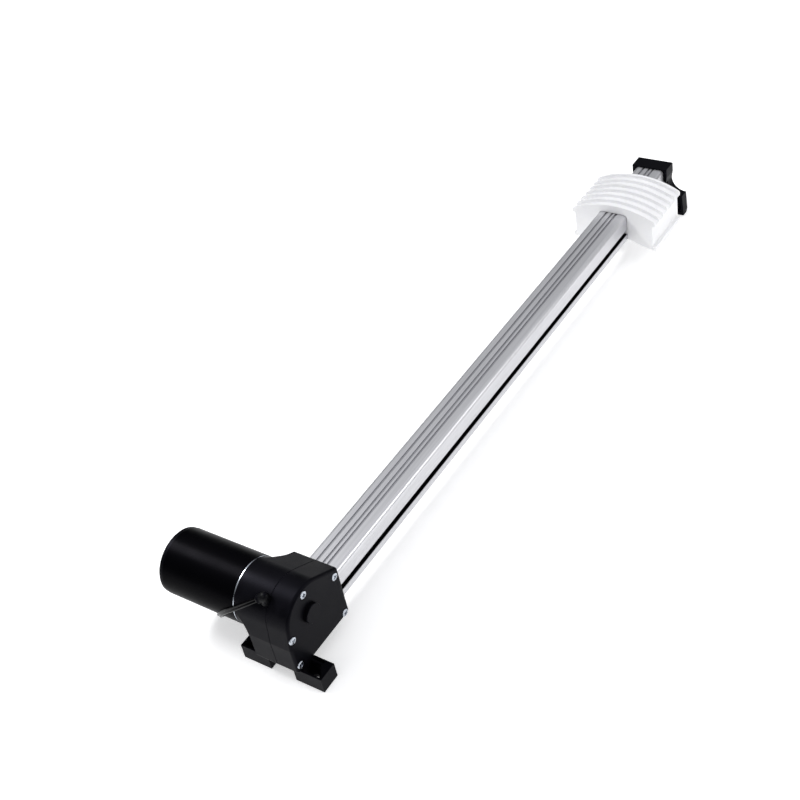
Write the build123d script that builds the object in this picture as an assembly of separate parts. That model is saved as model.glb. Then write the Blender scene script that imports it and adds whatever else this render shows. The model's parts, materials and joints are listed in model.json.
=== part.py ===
from build123d import *
import math
import os

os.makedirs("parts", exist_ok=True)

# Slider actuator for a recliner or an adjustable bed, in millimetres.
# X runs along the rail from the gearbox to the far end, Y across it towards the motor, Z up.
# The origin lies under the feet, halfway between the two screw holes of the gearbox feet.

# Clearances
PRESS_GAP = 0.02
RUNNING_GAP = 0.04
SEAT_GAP = 0.1
SLIDE_GAP = 0.4
BODY_GAP = 0.6

# Gears
MODULE = 1.25
WHEEL_TEETH = 24
WHEEL_WIDTH = 12
WHEEL_HUB_R = 9
TOOTH_PLAY = 0.4
PRESSURE_ANGLE = 20
WORM_PITCH_R = 6
WORM_LENGTH = 20
SCREW_Z = 42
WORM_X = 22.3

# Ball bearings: bore radius, outer radius, width
MOTOR_BEARING = (4, 8, 5)
WORM_BEARING = (3, 7.5, 5)
FRONT_BEARING = (4, 11, 7)
REAR_BEARING = (6, 14, 8)

# Gearbox casing
CASE_FRONT = -11
CASE_BACK = 67
CASE_BOTTOM = 16
CASE_SIDE = 23.4
CASE_R = 31
CASE_WALL = 3
CASE_CORNER_R = 3
CASE_SHOULDER_Z = 74.7
CASE_BEND_Z = 49
CASE_EDGE_R = 2.8
PARTING_GROOVE = 0.4
NECK_LENGTH = 11.8
NECK_WALL = 3
NECK_WEB = 4
FLARE_R = 10

# Feet of the gearbox
FOOT_FRONT = -8
FOOT_LENGTH = 20
FOOT_HEIGHT = 16.5
FOOT_INNER = 13.8
FOOT_OUTER = 44.3
FOOT_WALL = 2
FOOT_END = 8.3
FOOT_FLOOR = 4
FOOT_HOLE_Y = 30
FOOT_HOLE_R = 3.2
GUSSET_R = 8

# Rail and lead screw
RAIL_W = 35
RAIL_H = 32
RAIL_BOTTOM = 30
RAIL_START = 42
RAIL_END = 778
RAIL_TOP_WALL = 2.8
RAIL_CORNER_R = 4.5
SIDE_SLOT_Z = 37
SIDE_SLOT_H = 7
SIDE_SLOT_DEPTH = 4.2
TOP_GROOVES_Y = (7.0, -0.1, -4.9)
TOP_GROOVE_W = 2.6
TOP_GROOVE_DEPTH = 1.1
CHANNEL_WALL = 6.3
CHANNEL_WIDE_WALL = 2.8
CHANNEL_STEP_Z = 46.4
LIP_H = 2.4
BOTTOM_SLOT_HALF = 6.5
PORT_INSET = 3.1
PORT_Z = 33.5
PORT_R = 1.7
SCREW_R = 6
SCREW_NECK_R = 5
SCREW_END_JOURNAL = 16
STOP_LENGTH = 6
COLLAR_LENGTH = 2.4
COLLAR_R = 9

# Slider and nut
SLIDER_TO_RAIL_END = 117
SLIDER_LENGTH = 71
SLIDER_TOP = 72
SLIDER_WING_Y = 52
SLIDER_WING_TOP = 59
SLIDER_WING_BOTTOM = 21
SLIDER_WEB_INSET = 3.5
SLIDER_FLANGE_H = 4.5
SLIDER_LEG_T = 3
SLIDER_LEG_BOTTOM = 29.8
SLIDER_RIB = 3.4
SLIDER_GROOVES = 6
SLIDER_GROOVE_DEPTH = 3.8
SLIDER_SKIN = 3
SLIDER_CORNER_R = 3
SLIDER_SWEEP = (13, 25)
SLIDER_CHEEK = 4
BRIDGE_LENGTH = 26
BRIDGE_H = 5
NUT_LENGTH = 40
NUT_TOP = 51
NECK_HALF = 5.7
NECK_SINK = 2.4
NUT_SCREW_PITCH = 14

# Motor
MOTOR_R = 31.5
MOTOR_WALL = 1.6
FLANGE_T = 1.2
FLANGE_INSET = 0.3
FLANGE_HUB_R = 10.9
BELL_LENGTH = 5
BELL_R = 31
BELL_SPIGOT = 5
BELL_HUB_R = 10.5
BELL_HUB_H = 2.5
SHAFT_R = 4
SHAFT_SEAT_R = 3
MAGNET_T = 4.6
MAGNET_ANGLE = 140
AIR_GAP = 0.9
STACK_INSET = 13.6
STACK_LENGTH = 42
WINDING_LENGTH = 7
WINDING_R = 21
ARMATURE_SLOTS = 12
SLOT_ROOT_R = 18.5
SLOT_POCKET_R = 2.8
SLOT_MOUTH = 1.4
COMMUTATOR_R = 9
COMMUTATOR_LENGTH = 10
COMMUTATOR_ROOM = 1.9
BRUSH_DISC_T = 2
BRUSH_SIZE = 5
BRUSH_LENGTH = 8
BRUSH_WALL = 1.4
MOTOR_SCREW_REACH = 20

# Far end cap
CAP_LENGTH = 18.3
CAP_BACK_WALL = 3
CAP_TOP = 63.8
CAP_SIDE = 4.4
CAP_WAIST_Z = 45
CAP_WAIST_SIDE = 3
CAP_FLARE_Y = 38.3
CAP_FLARE_Z = 26.8
CAP_FOOT_OUTER = 39.7
CAP_FOOT_INNER = 23
CAP_FOOT_LENGTH = 12
CAP_FOOT_FLOOR = 4
CAP_WALL = 2.7
CAP_HOLE_Y = 30
CAP_SPIGOT_R = 9.2
CAP_TOE_CHAMFER = 3.5
CAP_SWEEP = (5.6, 31.5)
END_BUSH_WALL = 2.4

# Fasteners: shank radius, head radius, head height
CASE_SCREW = (2, 3.9, 2.3)
SMALL_SCREW = (1.5, 3, 1.8)
CASE_SCREW_LENGTH = 36
CASE_SCREW_PROUD = 0.9
CASE_SCREWS_XZ = ((60.2, 68.4), (20.1, 87.1), (-5.9, 56), (-5.9, 24), (60.6, 20.2))
CLAMP_INSET = 13
BOSS_CAP_R = 9.6
BOSS_CAP_H = 3.8

# Limit switches on their strip inside the rail
STRIP_T = 1.4
STRIP_HALF = 6
SWITCH_LENGTH = 13
SWITCH_H = 5.6
SWITCH_NEAR_INSET = 34
SWITCH_FAR_INSET = 36

# Motor lead: a cable that winds round the motor and lies behind it on the floor
LEAD_R = 2.4
LEAD_STANDOFF = 0.9
GROMMET_WALL = 1
GROMMET_LENGTH = 7
HOOD_WALL = 0.9
HOOD_REACH = 8
HOOD_DROP = 6
# Angle round the motor and place along it, for the run on the can
LEAD_WOUND = (
    (132.6, 9),
    (141, 16),
    (152, 25),
    (164.5, 35),
    (176, 44.5),
    (190, 53),
    (205, 59),
    (220, 63.5),
    (235, 67),
    (250, 71),
)
LEAD_FLOOR_RUN = (
    (22, 75, 24.5),
    (34, 81, 17),
    (46, 88, 10),
    (58, 97, 4.5),
    (70, 108, 2.7),
    (80, 121, 2.7),
    (86, 136, 2.7),
    (87, 152, 2.7),
)
PLUG_SIZE = (11, 16, 7)

# What follows from these values
WHEEL_PITCH_R = MODULE * WHEEL_TEETH / 2
WHEEL_TIP_R = WHEEL_PITCH_R + MODULE
WHEEL_ROOT_R = WHEEL_PITCH_R - 1.28 * MODULE
WORM_Z = SCREW_Z + WHEEL_PITCH_R + WORM_PITCH_R
WORM_TIP_R = WORM_PITCH_R + MODULE
WORM_ROOT_R = WORM_PITCH_R - 1.2 * MODULE
WORM_LEAD = math.pi * MODULE
WHEEL_X = WORM_X - WHEEL_WIDTH / 2
TOOTH_HALF = (WORM_LEAD / 2 - TOOTH_PLAY) / 2
RAIL_TOP = RAIL_BOTTOM + RAIL_H
RAIL_HALF = RAIL_W / 2
CHANNEL_HALF = RAIL_HALF - CHANNEL_WALL
CHANNEL_WIDE_HALF = RAIL_HALF - CHANNEL_WIDE_WALL
PORT_Y = RAIL_HALF - PORT_INSET
NUT_HALF = CHANNEL_HALF - BODY_GAP
FRONT_BEARING_X = CASE_FRONT + CASE_WALL + 5
REAR_BEARING_X = RAIL_START - REAR_BEARING[2] - COLLAR_LENGTH - 0.1
WORM_BEARING_Y = -CASE_SIDE + CASE_WALL + 2
MOTOR_START = CASE_SIDE + NECK_LENGTH
CAN_START = MOTOR_START + FLANGE_T
STACK_START = CAN_START + STACK_INSET
COMMUTATOR_Y = STACK_START + STACK_LENGTH + WINDING_LENGTH + 1.5
CAN_END = COMMUTATOR_Y + COMMUTATOR_LENGTH + COMMUTATOR_ROOM + BELL_SPIGOT
BELL_END = CAN_END + BELL_LENGTH
MOTOR_BEARING_Y = CAN_START - MOTOR_BEARING[2] - 0.5
BELL_BEARING_Y = CAN_END - 3
CAN_BORE_R = MOTOR_R - MOTOR_WALL
ARMATURE_R = CAN_BORE_R - MAGNET_T - AIR_GAP
CLAMP_X = RAIL_START + CLAMP_INSET
SCREW_THREAD_END = RAIL_END - SCREW_END_JOURNAL
SWITCH_NEAR = RAIL_START + SWITCH_NEAR_INSET
SWITCH_FAR = RAIL_END - SWITCH_FAR_INSET
SLIDER_FRONT = RAIL_END - SLIDER_TO_RAIL_END
SLIDER_BACK = SLIDER_FRONT + SLIDER_LENGTH
SLIDER_MID = SLIDER_FRONT + SLIDER_LENGTH / 2
SLIDER_LEG_Y = RAIL_HALF + SLIDER_LEG_T
BRIDGE_TOP = RAIL_BOTTOM - BODY_GAP
CAP_HALF = RAIL_HALF + CAP_SIDE
CAP_WAIST_Y = RAIL_HALF + CAP_WAIST_SIDE
CAP_BACK = RAIL_END + CAP_BACK_WALL
CAP_FRONT = CAP_BACK - CAP_LENGTH
CAP_HOLE_X = CAP_BACK - 7
LEAD_AXIS_R = MOTOR_R + LEAD_R + LEAD_STANDOFF
GROMMET_R = LEAD_R + GROMMET_WALL
CHANNEL_ROOF = RAIL_TOP - RAIL_TOP_WALL


def prism_x(shape, x0, x1):
    """A YZ outline drawn out from x0 to x1."""
    return extrude(Plane.YZ.offset(x0) * shape, amount=x1 - x0)


def prism_y(shape, y0, y1):
    """An XZ outline drawn out from y0 to y1."""
    return extrude(Plane.XZ.offset(-y1) * shape, amount=y1 - y0)


def prism_z(shape, z0, z1):
    """An XY outline drawn out from z0 to z1."""
    return extrude(Plane.XY.offset(z0) * shape, amount=z1 - z0)


def rod_x(r, x0, x1, y=0.0, z=SCREW_Z):
    return prism_x(Pos(y, z) * Circle(r), x0, x1)


def rod_y(r, y0, y1, x=WORM_X, z=WORM_Z):
    return prism_y(Pos(x, z) * Circle(r), y0, y1)


def rod_z(r, z0, z1, x, y):
    return prism_z(Pos(x, y) * Circle(r), z0, z1)


def tube_x(r_in, r_out, x0, x1, y=0.0, z=SCREW_Z):
    return prism_x(Pos(y, z) * (Circle(r_out) - Circle(r_in)), x0, x1)


def tube_y(r_in, r_out, y0, y1, x=WORM_X, z=WORM_Z):
    return prism_y(Pos(x, z) * (Circle(r_out) - Circle(r_in)), y0, y1)


def block(x0, x1, y0, y1, z0, z1):
    middle = Pos((x0 + x1) / 2, (y0 + y1) / 2, (z0 + z1) / 2)
    return middle * Box(x1 - x0, y1 - y0, z1 - z0)


def rect(a0, a1, b0, b1):
    """A rectangle in an outline's own two directions, by its limits."""
    return Pos((a0 + a1) / 2, (b0 + b1) / 2) * Rectangle(a1 - a0, b1 - b0)


def polygon(*points):
    return make_face(Polyline(*points, close=True))


def mirrored(shape):
    """The mirror image across the rail's middle plane."""
    return mirror(shape, about=Plane.XZ)


def both_sides(shape):
    return shape + mirrored(shape)


def around_motor(angle, radius, y):
    """A point at an angle round the motor axis, measured from +X towards +Z."""
    turn = math.radians(angle)
    return Vector(WORM_X + radius * math.cos(turn), y, WORM_Z + radius * math.sin(turn))


def save(name, shape):
    export_step(shape, f"parts/{name}.step")


# Gearbox casing


def case_outline():
    """Casing seen from the side: round about the worm, straight down to the rail end."""
    low = CASE_BOTTOM + CASE_CORNER_R
    front = CASE_FRONT + CASE_CORNER_R
    back = CASE_BACK - CASE_CORNER_R
    edges = (Pos(WORM_X, WORM_Z) * Circle(CASE_R)).edges()
    shoulder = CASE_SHOULDER_Z - CASE_CORNER_R
    bend = CASE_BEND_Z - CASE_CORNER_R
    for x, z in ((front, low), (back, low), (back, shoulder), (front, bend)):
        edges += (Pos(x, z) * Circle(CASE_CORNER_R)).edges()
    return make_hull(edges)


def rail_envelope(gap):
    """Outside of the rail, grown by a gap on every side."""
    half = RAIL_HALF + gap
    outline = rect(-half, half, RAIL_BOTTOM - gap, RAIL_TOP + gap)
    top = outline.vertices().group_by(Axis.Y)[-1]
    return fillet(top, RAIL_CORNER_R + gap)


def case_supports():
    """Blocks inside the casing that carry the screw's bearings and the rail end."""
    side = CASE_SIDE - CASE_WALL / 2
    low = CASE_BOTTOM + CASE_WALL / 2
    seat = FRONT_BEARING[1] + 4
    front = block(CASE_FRONT + 1, FRONT_BEARING_X + FRONT_BEARING[2] + 1, -seat, seat, low, SCREW_Z + seat)
    seat = REAR_BEARING[1] + 4
    rear = block(REAR_BEARING_X - 1, RAIL_START, -side, side, low, SCREW_Z + seat)
    socket = block(RAIL_START, CASE_BACK, -side, side, low, RAIL_TOP + CASE_WALL + 2)
    return front + rear + socket


def case_bores():
    """Everything that the two casing halves hold between them."""
    front_end = FRONT_BEARING_X + FRONT_BEARING[2]
    rear_end = REAR_BEARING_X + REAR_BEARING[2]
    bores = rod_x(FRONT_BEARING[1] + PRESS_GAP, FRONT_BEARING_X, front_end)
    bores += rod_x(FRONT_BEARING[1] - 2, CASE_FRONT + CASE_WALL, WHEEL_X)
    bores += rod_x(REAR_BEARING[1] + PRESS_GAP, REAR_BEARING_X, rear_end)
    bores += rod_x(COLLAR_R + 1.5, WHEEL_X, RAIL_START)
    bores += rod_x(WHEEL_TIP_R + 1.5, WHEEL_X - 1, WHEEL_X + WHEEL_WIDTH + 1)
    bores += prism_x(rail_envelope(SEAT_GAP), RAIL_START, CASE_BACK + 1)
    return bores


def gearbox_foot():
    """Ribbed foot on the -Y side, with an open pocket over its screw hole."""
    x0, x1 = FOOT_FRONT, FOOT_FRONT + FOOT_LENGTH
    foot = block(x0, x1, -FOOT_OUTER, -FOOT_INNER, 0, FOOT_HEIGHT)
    rib = x0 + 0.76 * FOOT_LENGTH
    end = -FOOT_OUTER + FOOT_END
    pocket = polygon(
        (x0 + FOOT_WALL, -CASE_SIDE),
        (rib - FOOT_WALL / 2, -CASE_SIDE),
        (rib - FOOT_WALL / 2, end),
        (rib - 2.5 * FOOT_WALL, end - 0.8),
        (x0 + FOOT_WALL, -FOOT_OUTER + 1.6),
    )
    foot -= prism_z(pocket, FOOT_FLOOR, FOOT_HEIGHT + 1)
    step = rect(rib + FOOT_WALL / 2, x1 - FOOT_WALL / 2, end, -CASE_SIDE)
    foot -= prism_z(step, 2 * FOOT_FLOOR, FOOT_HEIGHT + 1)
    foot -= rod_z(FOOT_HOLE_R, -1, FOOT_FLOOR + 1, 0, -FOOT_HOLE_Y)
    return foot


def case_gusset():
    """Curved web between the front wall of a foot and the casing, on the -Y side."""
    side = CASE_SIDE - 0.5
    low = FOOT_HEIGHT - 0.5
    web = rect(-side - GUSSET_R, -side, low, low + GUSSET_R)
    web -= Pos(-side - GUSSET_R, low + GUSSET_R) * Circle(GUSSET_R)
    return prism_x(web, FOOT_FRONT, FOOT_FRONT + FOOT_WALL)


def screw_bosses(y0, y1):
    spots = Sketch() + [Pos(x, z) * Circle(CASE_SCREW[0] + 2.6) for x, z in CASE_SCREWS_XZ]
    return prism_y(spots, y0, y1)


def screw_holes(r, y0, y1):
    spots = Sketch() + [Pos(x, z) * Circle(r) for x, z in CASE_SCREWS_XZ]
    return prism_y(spots, y0, y1)


def gear_cover():
    """Half casing on the open side, from the middle plane to the screw heads."""
    outline = case_outline()
    shell = prism_y(outline, -CASE_SIDE, 0)
    face = shell.faces().sort_by(Axis.Y)[0]
    whole = fillet(face.edges(), CASE_EDGE_R)
    whole = chamfer(whole.faces().sort_by(Axis.Y)[-1].edges(), PARTING_GROOVE)
    inner = -CASE_SIDE + CASE_WALL
    shell = whole - prism_y(offset(outline, amount=-CASE_WALL), inner, 1)
    inside = case_supports() + screw_bosses(inner - 1, 0)
    nose = WORM_BEARING_Y + WORM_BEARING[2] + 0.5
    inside += rod_y(WORM_BEARING[1] + 3, inner - 1, nose)
    cover = shell + (inside & whole)
    cover += gearbox_foot()
    cover -= case_bores()
    cover -= rod_y(WORM_BEARING[1] + PRESS_GAP, WORM_BEARING_Y, nose + 1)
    cover -= rod_y(WORM_BEARING[1] + 0.5, -CASE_SIDE - 1, WORM_BEARING_Y)
    cover -= rod_y(WORM_TIP_R + 1, nose, 1)
    cover -= screw_holes(CASE_SCREW[0] + SEAT_GAP, -CASE_SIDE - 1, 1)
    depth = CASE_SCREW[2] - CASE_SCREW_PROUD
    cover -= screw_holes(CASE_SCREW[1] + BODY_GAP, -CASE_SIDE - 1, -CASE_SIDE + depth)
    cover -= clamp_holes()
    return cover


def clamp_holes():
    """Recessed holes under the casing for the two screws that hold the rail."""
    shank = rod_z(CASE_SCREW[0] + SEAT_GAP, CASE_BOTTOM - 1, RAIL_BOTTOM, CLAMP_X, -PORT_Y)
    head = rod_z(CASE_SCREW[1] + SEAT_GAP, CASE_BOTTOM - 1, CASE_BOTTOM + CASE_SCREW[2], CLAMP_X, -PORT_Y)
    return both_sides(shank + head)


def neck_flare():
    """Concave skirt that widens the motor neck into the casing's back face."""
    y0, y1, r = CASE_SIDE - 1, CASE_SIDE + FLARE_R, CASE_R + FLARE_R
    curve = RadiusArc((r, CASE_SIDE), (CASE_R, y1), FLARE_R)
    if (curve @ 0.5).X > CASE_R + FLARE_R / 2:
        curve = RadiusArc((r, CASE_SIDE), (CASE_R, y1), -FLARE_R)
    outline = Polyline((CASE_R, y1), (0, y1), (0, y0), (r, y0), (r, CASE_SIDE))
    turned = revolve(make_face(curve + outline), axis=Axis.Y)
    return Pos(WORM_X, 0, WORM_Z) * turned & prism_y(case_outline(), y0, y1)


def lead_exit(r, back, ahead):
    """A round bar along the first stretch of the motor lead."""
    start, after = lead_points()[0:2]
    way = (after - start).normalized()
    place = Plane(origin=start - way * back, z_dir=way)
    return extrude(place * Circle(r), amount=back + ahead)


def lead_hood():
    """Rounded elbow that stands on the casing where the lead leaves it."""
    start, after = lead_points()[0:2]
    elbow = start - (after - start).normalized() * HOOD_REACH
    r = GROMMET_R + HOOD_WALL
    hood = lead_exit(r, HOOD_REACH, -1) + Pos(elbow.X, elbow.Y, elbow.Z) * Sphere(r)
    hood += rod_z(r, elbow.Z - HOOD_DROP, elbow.Z, elbow.X, elbow.Y)
    return hood & block(-2 * CASE_R, 2 * CASE_R, SEAT_GAP, CASE_SIDE, 0, WORM_Z + 2 * CASE_R)


def gear_housing():
    """Half casing on the motor side, with the round neck that carries the motor."""
    outline = case_outline()
    whole = prism_y(outline, 0, CASE_SIDE)
    whole = chamfer(whole.faces().sort_by(Axis.Y)[0].edges(), PARTING_GROOVE)
    shell = whole - prism_y(offset(outline, amount=-CASE_WALL), -1, CASE_SIDE - CASE_WALL)
    inside = case_supports() + screw_bosses(0, CASE_SIDE - CASE_WALL / 2)
    housing = shell + (inside & whole)
    housing += rod_y(CASE_R, CASE_SIDE - CASE_WALL, MOTOR_START)
    housing += neck_flare()
    housing += mirrored(gearbox_foot()) + mirrored(case_gusset())
    housing += lead_hood()
    housing -= lead_exit(GROMMET_R + PRESS_GAP, GROMMET_LENGTH, 5)
    housing -= case_bores()
    housing -= rod_y(WORM_TIP_R + 1, -1, CASE_SIDE + 1)
    housing -= rod_y(CASE_R - NECK_WALL, CASE_SIDE + 1, MOTOR_START - NECK_WEB)
    housing -= rod_y(FLANGE_HUB_R + SEAT_GAP, CASE_SIDE, MOTOR_START + 1)
    housing -= screw_holes(CASE_SCREW[0] + PRESS_GAP, -1, CASE_SCREW_LENGTH - CASE_SIDE)
    for x in motor_screw_places():
        housing -= rod_y(SMALL_SCREW[0] + SEAT_GAP, CASE_SIDE, MOTOR_START + 1, x)
        housing -= rod_y(SMALL_SCREW[1] + 1, CASE_SIDE - CASE_WALL - 1, CASE_SIDE + 2, x)
    housing -= clamp_holes()
    return housing


def motor_screw_places():
    return (WORM_X - MOTOR_SCREW_REACH, WORM_X + MOTOR_SCREW_REACH)


def worm_cap():
    """Round plug that closes the bore of the worm's end bearing."""
    cap = rod_y(BOSS_CAP_R, -CASE_SIDE - BOSS_CAP_H, -CASE_SIDE)
    cap = chamfer(cap.faces().sort_by(Axis.Y)[0].edges(), 0.5)
    return cap + rod_y(WORM_BEARING[1] + 0.5 - PRESS_GAP, -CASE_SIDE, WORM_BEARING_Y - SEAT_GAP)


def bearing_x(sizes, x0, bore_gap):
    """Ball bearing along X, with a recess between its rings on both faces."""
    bore, outer, width = sizes
    ring = tube_x(bore + bore_gap, outer, x0, x0 + width)
    inner_ring, outer_ring = bore + 0.3 * (outer - bore), outer - 0.25 * (outer - bore)
    for x in (x0, x0 + width - 0.6):
        ring -= tube_x(inner_ring, outer_ring, x, x + 0.6)
    return ring


def bearing_y(sizes, y0, bore_gap):
    """Ball bearing along Y on the motor axis."""
    bore, outer, width = sizes
    ring = tube_y(bore + bore_gap, outer, y0, y0 + width)
    inner_ring, outer_ring = bore + 0.3 * (outer - bore), outer - 0.25 * (outer - bore)
    for y in (y0, y0 + width - 0.6):
        ring -= tube_y(inner_ring, outer_ring, y, y + 0.6)
    return ring


def screw_along_y(sizes, length, x, z, y_seat, way):
    """Pan-head screw along Y; the head's underside is at y_seat, the shank goes one way."""
    shank, head_r, head_h = sizes
    ends = sorted((y_seat, y_seat + way * length))
    top = sorted((y_seat, y_seat - way * head_h))
    head = rod_y(head_r, top[0], top[1], x, z)
    crown = head.faces().sort_by(Axis.Y)[0 if way > 0 else -1]
    head = chamfer(crown.edges(), 0.35 * head_h)
    return head + rod_y(shank, ends[0], ends[1], x, z)


def cover_screws():
    seat = -CASE_SIDE + CASE_SCREW[2] - CASE_SCREW_PROUD
    length = CASE_SCREW_LENGTH - CASE_SCREW[2] - 1
    return Compound([screw_along_y(CASE_SCREW, length, x, z, seat, 1) for x, z in CASE_SCREWS_XZ])


def motor_mount_screws():
    seat = MOTOR_START - NECK_WEB
    return Compound(
        [screw_along_y(SMALL_SCREW, NECK_WEB + FLANGE_T, x, WORM_Z, seat, 1) for x in motor_screw_places()]
    )


# Worm gear and lead screw


def worm():
    """Single-start right-hand worm, its thread swept along a helix."""
    flank = math.tan(math.radians(PRESSURE_ANGLE))
    half_root = TOOTH_HALF + (WORM_PITCH_R - WORM_ROOT_R) * flank
    half_tip = TOOTH_HALF - (WORM_TIP_R - WORM_PITCH_R) * flank
    height = WORM_TIP_R - WORM_ROOT_R
    path = Helix(pitch=WORM_LEAD, height=WORM_LENGTH, radius=WORM_ROOT_R)
    place = Plane(origin=path @ 0, x_dir=(1, 0, 0), z_dir=(0, -1, 0))
    tooth = ((-0.3, -half_root - 0.1), (height, -half_tip), (height, half_tip), (-0.3, half_root + 0.1))
    thread = sweep(place * polygon(*tooth), path=path, is_frenet=True)
    shank = extrude(Circle(WORM_ROOT_R), amount=WORM_LENGTH)
    threaded = Rot(0, 0, -360 * WORM_LENGTH / 2 / WORM_LEAD) * (shank + thread)
    lying = Plane(origin=(WORM_X, -WORM_LENGTH / 2, WORM_Z), x_dir=(0, 0, -1), z_dir=(0, 1, 0)) * threaded
    half = WORM_LENGTH / 2 + WORM_LEAD / 4
    lying = lying & rod_y(WORM_TIP_R + 1, -half, half)
    return lying - rod_y(SHAFT_SEAT_R + PRESS_GAP, -half - 1, half + 1)


def wheel_outline():
    """Toothed rim with a tooth space straight up, as radii and half angles of a tooth."""
    pitch_half = TOOTH_HALF / WHEEL_PITCH_R
    corners = (
        (WHEEL_ROOT_R, 1.24 * pitch_half),
        (WHEEL_PITCH_R, pitch_half),
        (WHEEL_TIP_R, 0.42 * pitch_half),
    )
    points = []
    for tooth in range(WHEEL_TEETH):
        middle = 2 * math.pi * (tooth + 0.5) / WHEEL_TEETH + math.pi / 2
        for r, half in corners + corners[::-1]:
            side = -half if len(points) % 6 < 3 else half
            points.append((r * math.cos(middle + side), r * math.sin(middle + side)))
    return polygon(*points)


def worm_wheel():
    """Wheel whose teeth lean by the worm's lead angle, with a hub on both sides."""
    lean = math.atan(WORM_LEAD / (2 * math.pi * WORM_PITCH_R))
    twist = math.degrees(WHEEL_WIDTH * math.tan(lean) / WHEEL_PITCH_R)
    rim = wheel_outline()
    ends = []
    for side in (-1, 1):
        place = Plane.YZ.offset(WORM_X + side * WHEEL_WIDTH / 2)
        ends.append(place * Pos(0, SCREW_Z) * Rot(0, 0, side * twist / 2) * rim)
    wheel = loft(ends, ruled=True)
    hub_start = FRONT_BEARING_X + FRONT_BEARING[2] + 2
    wheel += rod_x(WHEEL_HUB_R, hub_start, REAR_BEARING_X - SEAT_GAP)
    return wheel - rod_x(SCREW_NECK_R + PRESS_GAP, hub_start - 1, REAR_BEARING_X)


def lead_screw():
    front = FRONT_BEARING_X + FRONT_BEARING[2]
    screw = rod_x(FRONT_BEARING[0], FRONT_BEARING_X, front)
    screw += rod_x(SCREW_NECK_R, front + SEAT_GAP, REAR_BEARING_X) + rod_x(4, front, front + 1)
    screw += rod_x(SCREW_R, REAR_BEARING_X, SCREW_THREAD_END)
    screw += rod_x(FRONT_BEARING[0], SCREW_THREAD_END, RAIL_END - BODY_GAP)
    return screw


def screw_collar():
    x0 = REAR_BEARING_X + REAR_BEARING[2] + SEAT_GAP
    return tube_x(SCREW_R + PRESS_GAP, COLLAR_R, x0, x0 + COLLAR_LENGTH - SEAT_GAP)


def bump_stop(x0):
    """Rubber ring that stands in the rail round the lead screw."""
    r = SCREW_Z - RAIL_BOTTOM - LIP_H - SEAT_GAP
    return tube_x(SCREW_R + SLIDE_GAP, r, x0, x0 + STOP_LENGTH)


def drive_nut():
    """Nut in the rail's channel, with a neck through the slot below."""
    half_length = NUT_LENGTH / 2
    floor = RAIL_BOTTOM + LIP_H + BODY_GAP
    body = block(SLIDER_MID - half_length, SLIDER_MID + half_length, -NUT_HALF, NUT_HALF, floor, NUT_TOP)
    body = chamfer(body.edges().filter_by(Axis.X), 1.5)
    reach = BRIDGE_LENGTH / 2 - 3
    neck = block(SLIDER_MID - reach, SLIDER_MID + reach, -NECK_HALF, NECK_HALF, BRIDGE_TOP - NECK_SINK, floor + 1)
    nut = body + neck
    nut -= rod_x(SCREW_R + RUNNING_GAP, SLIDER_MID - half_length - 1, SLIDER_MID + half_length + 1)
    for x in nut_screw_places():
        nut -= rod_z(SMALL_SCREW[0] + PRESS_GAP, BRIDGE_TOP - NECK_SINK - 1, SCREW_Z - SCREW_R - 1, x, 0)
    return nut


def nut_screw_places():
    return (SLIDER_MID - NUT_SCREW_PITCH / 2, SLIDER_MID + NUT_SCREW_PITCH / 2)


def screw_upwards(sizes, length, x, y, z_seat):
    """Pan-head screw pointing up; its head hangs below z_seat."""
    shank, head_r, head_h = sizes
    head = rod_z(head_r, z_seat - head_h, z_seat, x, y)
    head = chamfer(head.faces().sort_by(Axis.Z)[0].edges(), 0.35 * head_h)
    return head + rod_z(shank, z_seat, z_seat + length, x, y)


def nut_screws():
    seat = BRIDGE_TOP - BRIDGE_H + SMALL_SCREW[2]
    length = SCREW_Z - SCREW_R - 2 - seat
    return Compound([screw_upwards(SMALL_SCREW, length, x, 0, seat) for x in nut_screw_places()])


# Rail


def rail():
    """Extruded rail: grooved top, a slot along each side and one underneath."""
    outline = rail_envelope(0)
    for y in TOP_GROOVES_Y:
        half = TOP_GROOVE_W / 2
        outline -= rect(y - half, y + half, RAIL_TOP - TOP_GROOVE_DEPTH, RAIL_TOP + 1)
    for side in (-1, 1):
        depth = RAIL_HALF - SIDE_SLOT_DEPTH
        outline -= rect(*sorted((side * depth, side * (RAIL_HALF + 1))), SIDE_SLOT_Z, SIDE_SLOT_Z + SIDE_SLOT_H)
        outline -= Pos(side * PORT_Y, PORT_Z) * Circle(PORT_R)
    outline -= rect(-CHANNEL_WIDE_HALF, CHANNEL_WIDE_HALF, CHANNEL_STEP_Z, CHANNEL_ROOF)
    outline -= rect(-CHANNEL_HALF, CHANNEL_HALF, RAIL_BOTTOM + LIP_H, CHANNEL_STEP_Z + 1)
    outline -= rect(-BOTTOM_SLOT_HALF, BOTTOM_SLOT_HALF, RAIL_BOTTOM - 1, RAIL_BOTTOM + LIP_H + 1)
    body = prism_x(outline, RAIL_START, RAIL_END)
    for side in (-1, 1):
        body -= rod_z(CASE_SCREW[0] + PRESS_GAP, RAIL_BOTTOM - 1, SIDE_SLOT_Z + 1, CLAMP_X, side * PORT_Y)
    return body


def rail_clamp_screws():
    seat = CASE_BOTTOM + CASE_SCREW[2]
    length = SIDE_SLOT_Z - seat
    return Compound([screw_upwards(CASE_SCREW, length, CLAMP_X, side * PORT_Y, seat) for side in (-1, 1)])


def switch_strip():
    """Board under the rail's roof that carries the limit switches."""
    x0, x1 = RAIL_START + 8, SWITCH_FAR + SWITCH_LENGTH + 5
    return block(x0, x1, -STRIP_HALF, STRIP_HALF, CHANNEL_ROOF - STRIP_T, CHANNEL_ROOF)


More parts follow.
